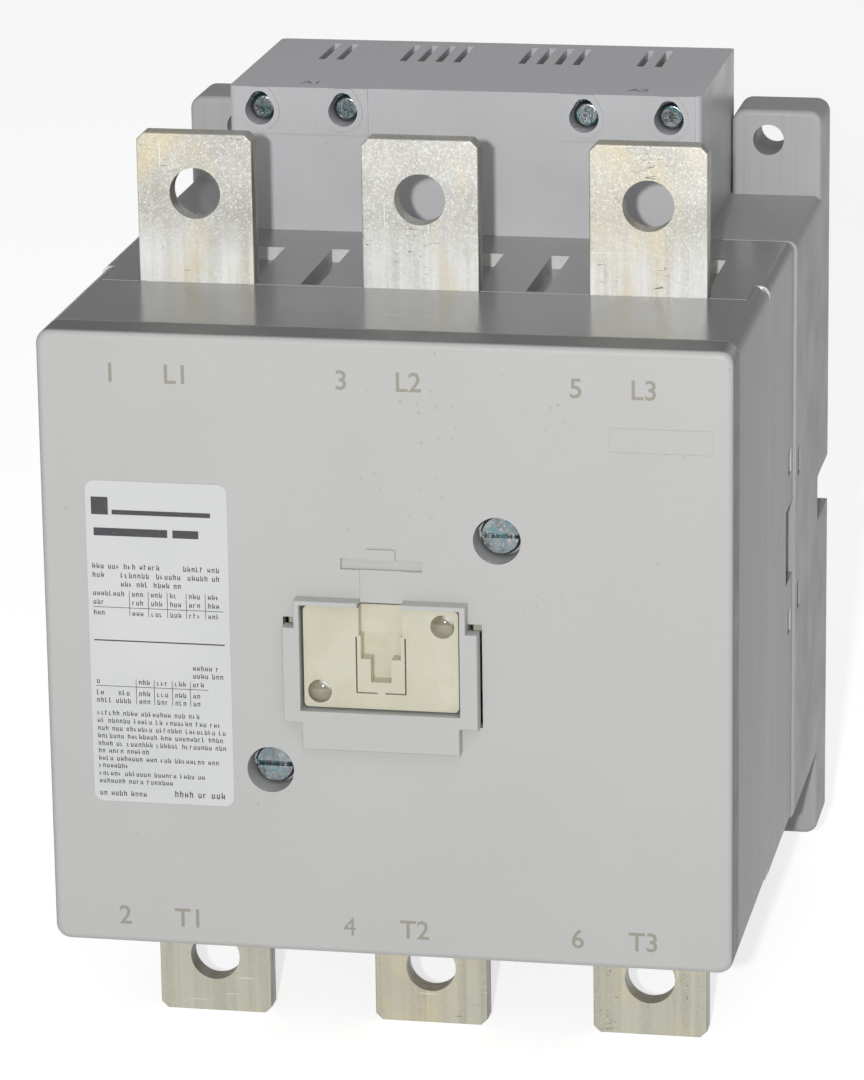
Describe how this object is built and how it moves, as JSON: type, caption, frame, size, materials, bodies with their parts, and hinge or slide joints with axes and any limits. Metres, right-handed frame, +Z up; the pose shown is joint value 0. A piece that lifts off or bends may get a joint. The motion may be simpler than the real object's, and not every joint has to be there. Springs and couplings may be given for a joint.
{
  "type": "magnetic contactor",
  "caption": "Three-pole magnetic contactor: grey block housing on an eared base, flat bar terminals above and below, coil terminals on top, moving contact carrier in a port.",
  "frame": {"origin": "middle of the mounting face at the back of the base", "axes": "+Z up along the terminal bars, +Y into the mounting plate, front face looks along -Y, +X right as seen from the front"},
  "size_m": [0.1464, 0.1636, 0.1978],
  "materials": {
    "cover_plastic": "light grey moulded cover, smooth satin",
    "body_plastic": "mid grey fibre-filled moulding, rough streaky",
    "coil_box_plastic": "grey moulding, fine matt",
    "base_plastic": "grey moulding, fine matt",
    "label": "white matt film label",
    "cream_plastic": "cream moulded plastic, satin",
    "pin_plastic": "glossy smoke coloured heads",
    "tinned_copper": "tin-plated copper, stained and scratched",
    "copper": "bare copper",
    "silver_alloy": "silver alloy contact tips",
    "zinc_steel": "blue zinc-plated steel",
    "spring_steel": "spring steel wire",
    "arc_steel": "copper-washed sheet steel",
    "fibre": "vulcanised fibre sheet",
    "laminated_iron": "stacked electrical sheet",
    "rubber": "black rubber",
    "bobbin_plastic": "black glass-filled plastic",
    "winding": "enamelled copper winding"
  },
  "bodies": {
    "housing": {"front_cover": "cover_plastic", "rating_label": "label", "arc_chamber": "body_plastic", "contact_base": "body_plastic", "base_housing": "base_plastic", "coil_terminal_housing": "coil_box_plastic", "coil_terminal_screws": "zinc_steel", "coil_terminal_clamps": "zinc_steel", "cover_screws": "zinc_steel", "bar_screws": "zinc_steel", "housing_screws": "zinc_steel", "fixed_contact_tips": "silver_alloy", "arc_chute_cheeks": "fibre", "magnet_core": "laminated_iron", "shading_rings": "copper", "core_buffers": "rubber", "coil_bobbin": "bobbin_plastic", "coil_winding": "winding", "line_bar_l1": "tinned_copper", "load_bar_t1": "tinned_copper", "arc_plates_1": "arc_steel", "line_bar_l2": "tinned_copper", "load_bar_t2": "tinned_copper", "arc_plates_2": "arc_steel", "line_bar_l3": "tinned_copper", "load_bar_t3": "tinned_copper", "arc_plates_3": "arc_steel"},
    "carrier": {"contact_carrier": "cream_plastic", "carrier_pins": "pin_plastic", "armature_holder": "bobbin_plastic", "carrier_screws": "zinc_steel", "armature": "laminated_iron", "armature_pin": "zinc_steel", "armature_cushion": "rubber", "return_springs": "spring_steel"},
    "bridge_1": {"contact_bridge_1": "copper", "moving_tips_1": "silver_alloy", "contact_spring_1": "spring_steel"},
    "bridge_2": {"contact_bridge_2": "copper", "moving_tips_2": "silver_alloy", "contact_spring_2": "spring_steel"},
    "bridge_3": {"contact_bridge_3": "copper", "moving_tips_3": "silver_alloy", "contact_spring_3": "spring_steel"}
  },
  "joints": [
    {"name": "carrier_slide", "type": "slide", "parent": "housing", "child": "carrier", "axis": [0, 1, 0], "range_m": [0, 0.008], "stiffness_N_per_m": 1500, "springref_m": -0.02, "deforming": ["return_springs"]},
    {"name": "bridge_slide_1", "type": "slide", "parent": "carrier", "child": "bridge_1", "axis": [0, -1, 0], "range_m": [0, 0.002], "deforming": ["contact_spring_1"]},
    {"name": "bridge_slide_2", "type": "slide", "parent": "carrier", "child": "bridge_2", "axis": [0, -1, 0], "range_m": [0, 0.002], "deforming": ["contact_spring_2"]},
    {"name": "bridge_slide_3", "type": "slide", "parent": "carrier", "child": "bridge_3", "axis": [0, -1, 0], "range_m": [0, 0.002], "deforming": ["contact_spring_3"]}
  ],
  "couplings": [
    {"joint": "bridge_slide_1", "follows": "carrier_slide", "ratio": 0.25},
    {"joint": "bridge_slide_2", "follows": "carrier_slide", "ratio": 0.25},
    {"joint": "bridge_slide_3", "follows": "carrier_slide", "ratio": 0.25}
  ]
}
